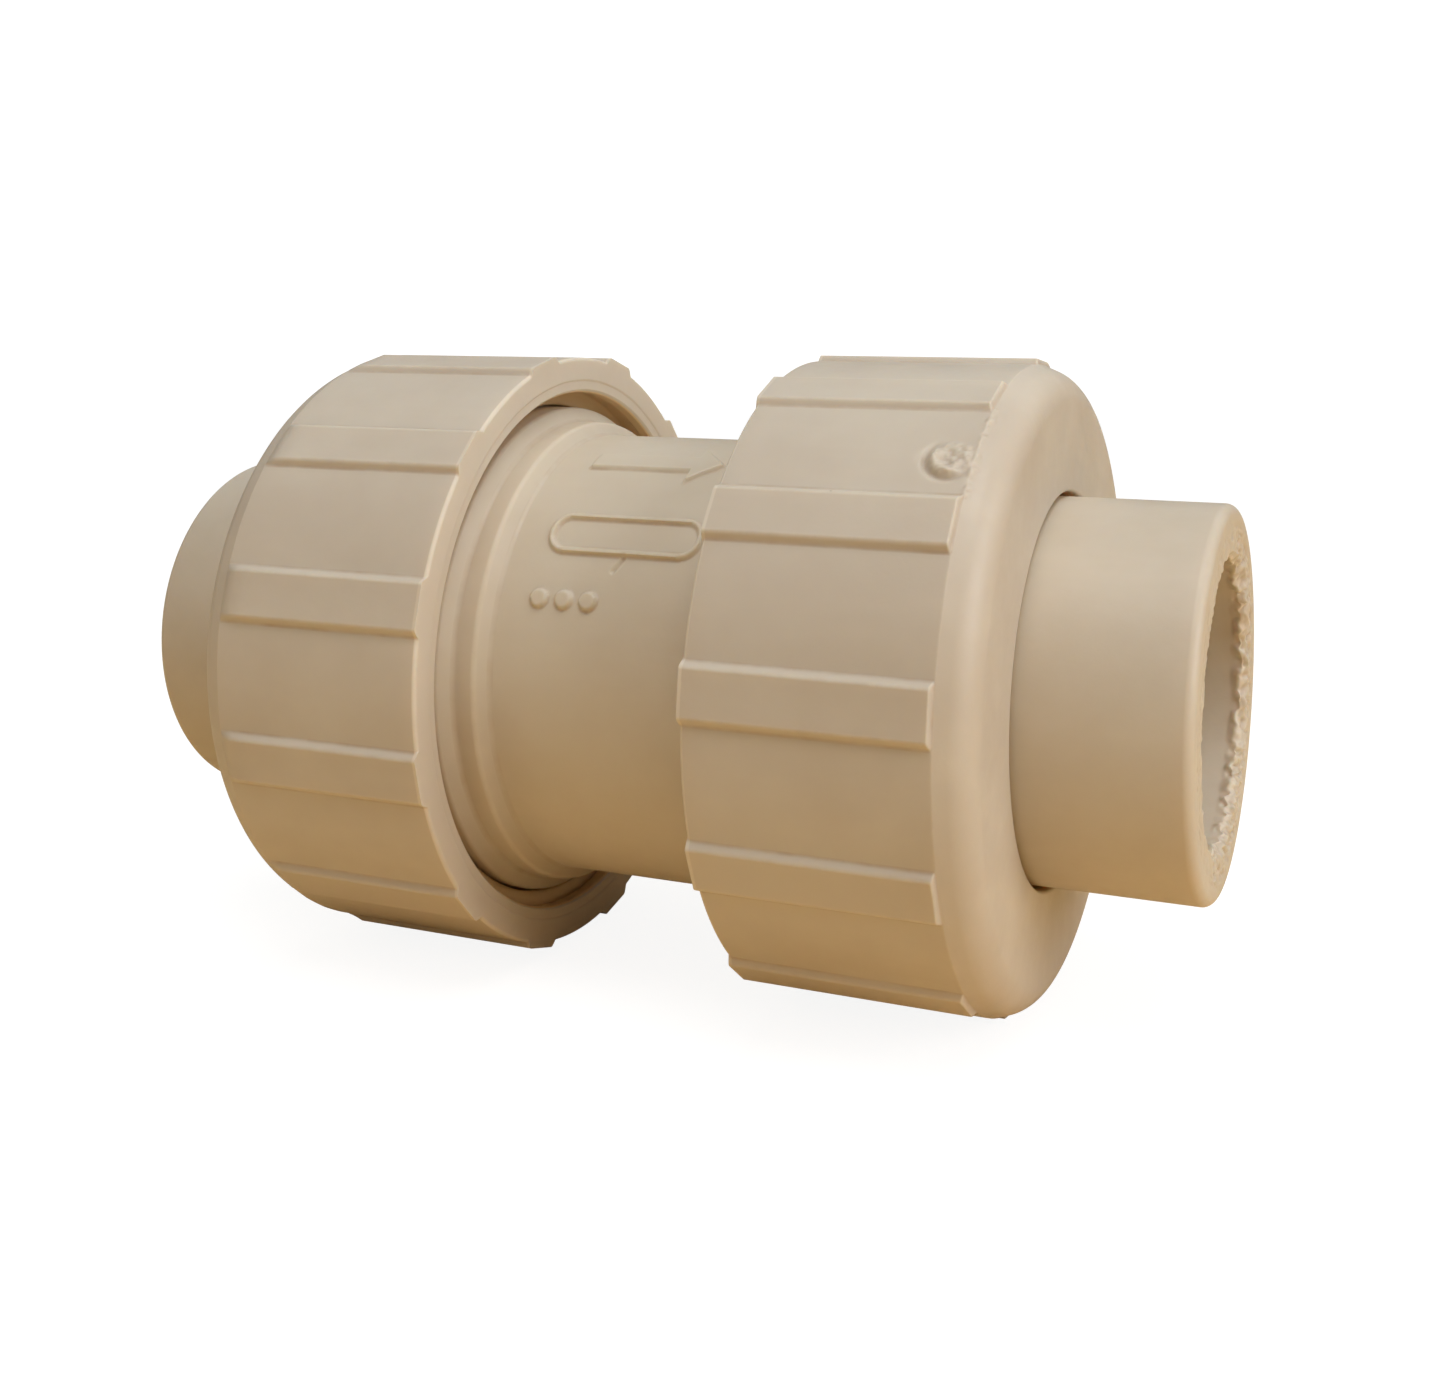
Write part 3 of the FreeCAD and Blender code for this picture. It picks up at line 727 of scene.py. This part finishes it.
def make_spring(material):
    """Compression spring with closed end turns."""
    low, high = (point.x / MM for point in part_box("return_spring"))
    start = low + SPRING_WIRE_R
    length = high - low - 2 * SPRING_WIRE_R
    turns = SPRING_FREE_TURNS + 2 * SPRING_END_TURNS
    turn = np.linspace(0, turns, int(turns * SPRING_STEPS) + 1)
    end_rise = SPRING_END_PITCH * SPRING_WIRE_R * SPRING_END_TURNS
    x = start + np.interp(turn, [0, SPRING_END_TURNS, turns - SPRING_END_TURNS, turns],
                          [0, end_rise, length - end_rise, length])
    path = np.stack([x, SPRING_R * np.cos(turn * 2 * np.pi),
                     SPRING_R * np.sin(turn * 2 * np.pi)], -1)
    outward = path * np.array([0, 1, 1]) / SPRING_R
    vertices = []
    for index in range(SPRING_SIDES):
        angle = 2 * np.pi * index / SPRING_SIDES
        vertices.append(path + SPRING_WIRE_R * (np.cos(angle) * outward
                                                + np.sin(angle) * np.array([1.0, 0, 0])))
    vertices = np.stack(vertices, 1)
    rows = len(path)
    faces = []
    for row in range(rows - 1):
        for index in range(SPRING_SIDES):
            following = (index + 1) % SPRING_SIDES
            faces.append((row * SPRING_SIDES + index, row * SPRING_SIDES + following,
                          (row + 1) * SPRING_SIDES + following, (row + 1) * SPRING_SIDES + index))
    faces.append(tuple(reversed(range(SPRING_SIDES))))
    faces.append(tuple(range((rows - 1) * SPRING_SIDES, rows * SPRING_SIDES)))
    mesh = bpy.data.meshes.new("return_spring_coil")
    mesh.from_pydata((vertices.reshape(-1, 3) * MM).tolist(), [], faces)
    mesh.shade_smooth()
    piece = bpy.data.objects.new("return_spring_coil", mesh)
    bpy.context.scene.collection.objects.link(piece)
    ride(piece, "valve_body", "stainless_steel", material, "return_spring")
    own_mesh(piece)
    return piece


# ---------------------------------------------------------------- materials

class Nodes:
    """Small helper that adds shader nodes to one material and links them."""

    def __init__(self, name):
        self.material = bpy.data.materials.new(name)
        self.material.use_nodes = True
        self.tree = self.material.node_tree
        self.shader = self.tree.nodes["Principled BSDF"]
        self.place = self.tree.nodes.new("ShaderNodeTexCoord").outputs["Object"]

    def put(self, socket, value):
        if isinstance(value, bpy.types.NodeSocket):
            self.tree.links.new(value, socket)
        else:
            socket.default_value = value

    def noise(self, size, detail, roughness, stretch=None):
        """Noise whose blotches are about size millimetres across."""
        node = self.tree.nodes.new("ShaderNodeTexNoise")
        place = self.place
        if stretch:
            mapping = self.tree.nodes.new("ShaderNodeMapping")
            mapping.inputs["Scale"].default_value = stretch
            self.put(mapping.inputs["Vector"], place)
            place = mapping.outputs["Vector"]
        self.put(node.inputs["Vector"], place)
        node.inputs["Scale"].default_value = 1 / (size * MM)
        node.inputs["Detail"].default_value = detail
        node.inputs["Roughness"].default_value = roughness
        return node.outputs["Fac"]

    def span(self, value, low, high, to_low=0.0, to_high=1.0):
        node = self.tree.nodes.new("ShaderNodeMapRange")
        node.interpolation_type = "SMOOTHSTEP"
        for key, item in zip(("Value", "From Min", "From Max", "To Min", "To Max"),
                             (value, low, high, to_low, to_high)):
            self.put(node.inputs[key], item)
        return node.outputs["Result"]

    def math(self, operation, a, b):
        node = self.tree.nodes.new("ShaderNodeMath")
        node.operation = operation
        self.put(node.inputs[0], a)
        self.put(node.inputs[1], b)
        return node.outputs["Value"]

    def mix(self, share, a, b):
        node = self.tree.nodes.new("ShaderNodeMix")
        node.data_type = "RGBA"
        self.put(node.inputs["Factor"], share)
        self.put(node.inputs["A"], a)
        self.put(node.inputs["B"], b)
        return node.outputs["Result"]

    def attribute(self, name):
        node = self.tree.nodes.new("ShaderNodeAttribute")
        node.attribute_name = name
        return node.outputs["Fac"]

    def specks(self, size, share):
        """Sparse round specks: about one cell in every 1 / share holds one."""
        node = self.tree.nodes.new("ShaderNodeTexVoronoi")
        self.put(node.inputs["Vector"], self.place)
        node.inputs["Scale"].default_value = 1 / (size * 4 * MM)
        node.inputs["Randomness"].default_value = 1.0
        split = self.tree.nodes.new("ShaderNodeSeparateColor")
        self.put(split.inputs["Color"], node.outputs["Color"])
        chosen = self.math("LESS_THAN", split.outputs["Red"], share)
        near = self.span(node.outputs["Distance"], 0.1, 0.05)
        return self.math("MULTIPLY", chosen, near)

    def bump(self, height, depth, normal=None):
        """Bump of that depth in millimetres."""
        node = self.tree.nodes.new("ShaderNodeBump")
        node.inputs["Distance"].default_value = depth * MM
        self.put(node.inputs["Height"], height)
        if normal:
            self.put(node.inputs["Normal"], normal)
        return node.outputs["Normal"]

    def finish(self, colour, roughness, normal):
        self.put(self.shader.inputs["Base Color"], colour)
        self.put(self.shader.inputs["Roughness"], roughness)
        self.put(self.shader.inputs["Normal"], normal)
        return self.material


def cpvc_material(name, base, warm, cloud_size):
    """Satin moulded cream CPVC: cloudy colour, scuffed edges, concave creases darkened brown, and
    fine specks.
    """
    nodes = Nodes(name)
    cloud = nodes.noise(cloud_size, 4.0, 0.6)
    colour = nodes.mix(nodes.span(cloud, 0.32, 0.68), base, warm)
    streak = nodes.noise(5.0, 3.0, 0.6, stretch=(0.22, 1.0, 1.0))
    colour = nodes.mix(nodes.span(streak, 0.45, 0.8, 0.0, 0.16), colour, CPVC_STREAK)
    # concave creases darkened brown, in blotches
    crease_dark = nodes.math("MULTIPLY", nodes.span(nodes.noise(2.2, 4.0, 0.6), 0.2, 0.9),
                       nodes.attribute("hollow"))
    colour = nodes.mix(nodes.math("MULTIPLY", crease_dark, 0.40), colour, CPVC_CREASE_DARK)
    scuff = nodes.math("MULTIPLY", nodes.span(nodes.noise(1.6, 5.0, 0.7), 0.3, 0.62),
                       nodes.attribute("edge"))
    colour = nodes.mix(nodes.math("MULTIPLY", scuff, 0.18), colour, CPVC_SCUFF)
    speck = nodes.math("MULTIPLY", nodes.specks(0.35, 0.012), 0.6)
    colour = nodes.mix(speck, colour, CPVC_SPECK)
    # painted warm shade where the surface lies hidden in the union
    colour = nodes.mix(nodes.attribute("inside"), colour, CPVC_INSIDE_SHADE)
    # painted light on the nut's open end and the socket's wall
    colour = nodes.mix(nodes.attribute("pale"), colour, CPVC_PAINTED_LIGHT)
    roughness = nodes.span(nodes.noise(3.5, 4.0, 0.65), 0.3, 0.7, 0.40, 0.54)
    roughness = nodes.math("ADD", roughness, nodes.math("MULTIPLY", scuff, 0.08))
    normal = nodes.bump(nodes.noise(14.0, 2.0, 0.5), 0.10)
    normal = nodes.bump(nodes.noise(0.55, 4.0, 0.6), 0.012, normal)
    nodes.shader.inputs["Subsurface Weight"].default_value = 0.2
    nodes.shader.inputs["Subsurface Radius"].default_value = (0.0030, 0.0016, 0.0007)
    nodes.shader.inputs["Subsurface Scale"].default_value = 1.0
    nodes.shader.inputs["IOR"].default_value = 1.52
    return nodes.finish(colour, roughness, normal)


def acetal_material():
    """Milky white acetal with faint flow lines."""
    nodes = Nodes("white_acetal")
    cloud = nodes.noise(7.0, 4.0, 0.6)
    colour = nodes.mix(nodes.span(cloud, 0.3, 0.7), ACETAL, ACETAL_CLOUD)
    flow = nodes.noise(3.0, 3.0, 0.6, stretch=(0.3, 1.0, 1.0))
    colour = nodes.mix(nodes.span(flow, 0.5, 0.8, 0.0, 0.2), colour, ACETAL_FLOW)
    roughness = nodes.span(nodes.noise(2.5, 4.0, 0.6), 0.3, 0.7, 0.32, 0.46)
    normal = nodes.bump(nodes.noise(0.5, 3.0, 0.6), 0.01)
    nodes.shader.inputs["Subsurface Weight"].default_value = 0.1
    nodes.shader.inputs["Subsurface Radius"].default_value = (0.002, 0.002, 0.0018)
    nodes.shader.inputs["Subsurface Scale"].default_value = 1.0
    return nodes.finish(colour, roughness, normal)


def rubber_material():
    """Black EPDM with a dusty bloom."""
    nodes = Nodes("epdm_rubber")
    bloom = nodes.span(nodes.noise(1.8, 5.0, 0.7), 0.45, 0.75)
    colour = nodes.mix(bloom, RUBBER, RUBBER_BLOOM)
    roughness = nodes.span(nodes.noise(0.9, 4.0, 0.6), 0.3, 0.7, 0.55, 0.75)
    normal = nodes.bump(nodes.noise(0.3, 3.0, 0.6), 0.02)
    return nodes.finish(colour, roughness, normal)


def steel_material():
    """Drawn and turned stainless steel, patchy in tone and finely scratched."""
    nodes = Nodes("stainless_steel")
    tone = nodes.span(nodes.noise(2.4, 4.0, 0.6), 0.3, 0.7)
    colour = nodes.mix(tone, STEEL, STEEL_DULL)
    scratches = nodes.noise(0.5, 3.0, 0.7, stretch=(6.0, 1.0, 1.0))
    roughness = nodes.span(scratches, 0.3, 0.7, 0.22, 0.38)
    normal = nodes.bump(scratches, 0.006)
    nodes.shader.inputs["Metallic"].default_value = 1.0
    return nodes.finish(colour, roughness, normal)


def dress_cad_nodes(materials):
    """Give every CAD node that stays in view the material of its slot."""
    slot_of = {
        "white_acetal": ("seat_ring", "poppet", "spring_guide"),
        "epdm_rubber": ("seat_ring_o_ring", "poppet_seal", "inlet_face_o_ring",
                        "outlet_face_o_ring"),
        "stainless_steel": ("seal_retainer", "retainer_screw", "guide_retaining_ring"),
    }
    for slot, nodes in slot_of.items():
        for name in nodes:
            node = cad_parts[name]
            node.data.materials.clear()
            node.data.materials.append(materials[slot])


# ---------------------------------------------------------------- stage, light and camera

def stage_material(name, thrown, glow_strength):
    """Pale to the camera, while the light that it throws back on the valve has its own colour."""
    material = bpy.data.materials.new(name)
    material.use_nodes = True
    tree = material.node_tree
    tree.nodes.clear()
    seen = tree.nodes.new("ShaderNodeBsdfDiffuse")
    seen.inputs["Color"].default_value = FLOOR_SEEN
    glow = tree.nodes.new("ShaderNodeEmission")
    glow.inputs["Color"].default_value = (1.0, 1.0, 0.995, 1)
    glow.inputs["Strength"].default_value = glow_strength
    pale = tree.nodes.new("ShaderNodeAddShader")
    unseen = tree.nodes.new("ShaderNodeBsdfDiffuse")
    unseen.inputs["Color"].default_value = thrown
    ray = tree.nodes.new("ShaderNodeLightPath")
    choice = tree.nodes.new("ShaderNodeMixShader")
    output = tree.nodes.new("ShaderNodeOutputMaterial")
    tree.links.new(seen.outputs[0], pale.inputs[0])
    tree.links.new(glow.outputs[0], pale.inputs[1])
    tree.links.new(ray.outputs["Is Camera Ray"], choice.inputs[0])
    tree.links.new(unseen.outputs[0], choice.inputs[1])
    tree.links.new(pale.outputs[0], choice.inputs[2])
    tree.links.new(choice.outputs[0], output.inputs["Surface"])
    return material


def add_stage():
    """Flat round floor that curves up into a low wall, so that no horizon shows."""
    flat_r = 700.0
    bend_r = 300.0
    bend_steps = 16
    wall_height = 120.0
    around = 96
    profile = [(share * flat_r, 0.0) for share in (0.15, 0.4, 0.7, 1.0)]
    for step in range(1, bend_steps + 1):
        angle = math.radians(90 * step / bend_steps)
        profile.append((flat_r + bend_r * math.sin(angle), bend_r * (1 - math.cos(angle))))
    profile.append((flat_r + bend_r, bend_r + wall_height))
    vertices = [(0, 0, FLOOR_Z * MM)]
    for radius, height in profile:
        for index in range(around):
            angle = 2 * math.pi * index / around
            vertices.append((radius * math.cos(angle) * MM, radius * math.sin(angle) * MM,
                             (FLOOR_Z + height) * MM))
    faces = [(0, 1 + index, 1 + (index + 1) % around) for index in range(around)]
    for ring in range(len(profile) - 1):
        for index in range(around):
            following = (index + 1) % around
            inner = 1 + ring * around
            outer = inner + around
            faces.append((inner + index, outer + index, outer + following, inner + following))
    mesh = bpy.data.meshes.new("stage_floor")
    mesh.from_pydata(vertices, [], faces)
    mesh.shade_smooth()
    mesh.materials.append(stage_material("pale_stage", FLOOR_THROWN, FLOOR_GLOW))
    mesh.materials.append(stage_material("pale_wall", WALL_THROWN, WALL_GLOW))
    for face in mesh.polygons:
        face.material_index = int(face.center.xy.length > flat_r * MM)
    floor = bpy.data.objects.new("stage_floor", mesh)
    bpy.context.scene.collection.objects.link(floor)


def direction(azimuth, elevation):
    """Unit vector from the object towards a place round it; azimuth 0 is the front (-Y)."""
    turn = math.radians(azimuth)
    rise = math.radians(elevation)
    level = math.cos(rise)
    return Vector((math.sin(turn) * level, -math.cos(turn) * level, math.sin(rise)))


def add_softbox(name, azimuth, elevation, size, watts, colour):
    """Round soft lamp that points at the middle of the valve."""
    light = bpy.data.lights.new(name, "AREA")
    light.shape = "DISK"
    light.size = size * MM
    light.energy = watts
    light.color = colour
    softbox = bpy.data.objects.new(name, light)
    away = direction(azimuth, elevation)
    softbox.location = away * SOFTBOX_DISTANCE * MM
    softbox.rotation_mode = "QUATERNION"
    softbox.rotation_quaternion = away.to_track_quat("Z", "Y")
    softbox.visible_camera = False
    bpy.context.scene.collection.objects.link(softbox)


def add_light():
    add_softbox("key_softbox", azimuth=35, elevation=70, size=420, watts=1.9,
                colour=(1.0, 0.985, 0.965))
    add_softbox("side_softbox", azimuth=80, elevation=22, size=400, watts=1.72,
                colour=(0.96, 0.985, 1.04))
    world = bpy.data.worlds.new("soft_world")
    world.use_nodes = True
    background = world.node_tree.nodes["Background"]
    background.inputs["Color"].default_value = (0.94, 0.98, 1.0, 1)
    background.inputs["Strength"].default_value = 0.50
    bpy.context.scene.world = world


def add_camera():
    """Camera at the reference view, framed off its axis as a cropped picture is."""
    aim = Vector((6.036, 4.214, 13.836))
    away = direction(azimuth=22.745, elevation=6.404)
    distance = 146.76
    data = bpy.data.cameras.new("camera")
    data.sensor_width = 36.0
    data.lens = 43.285
    data.shift_x = -0.0394
    data.shift_y = -0.1374
    data.clip_start = 0.01
    camera = bpy.data.objects.new("camera", data)
    camera.location = (aim + away * distance) * MM
    camera.rotation_mode = "QUATERNION"
    camera.rotation_quaternion = away.to_track_quat("Z", "Y")
    bpy.context.scene.collection.objects.link(camera)
    bpy.context.scene.camera = camera


def main():
    body_cpvc = cpvc_material("cpvc_body", BODY_CREAM, BODY_CREAM_WARM, 16.0)
    nut_cpvc = cpvc_material("cpvc_nut", NUT_CREAM, NUT_CREAM_WARM, 19.0)
    end_cpvc = cpvc_material("cpvc_connector", END_CREAM, END_CREAM_WARM, 13.0)
    materials = {"white_acetal": acetal_material(), "epdm_rubber": rubber_material(),
                 "stainless_steel": steel_material()}
    make_body(body_cpvc)
    for side in SIDES:
        make_nut(side, nut_cpvc)
        make_connector(side, end_cpvc)
    make_spring(materials["stainless_steel"])
    dress_cad_nodes(materials)
    add_stage()
    add_light()
    add_camera()
    bpy.context.scene.view_settings.view_transform = "Standard"


main()
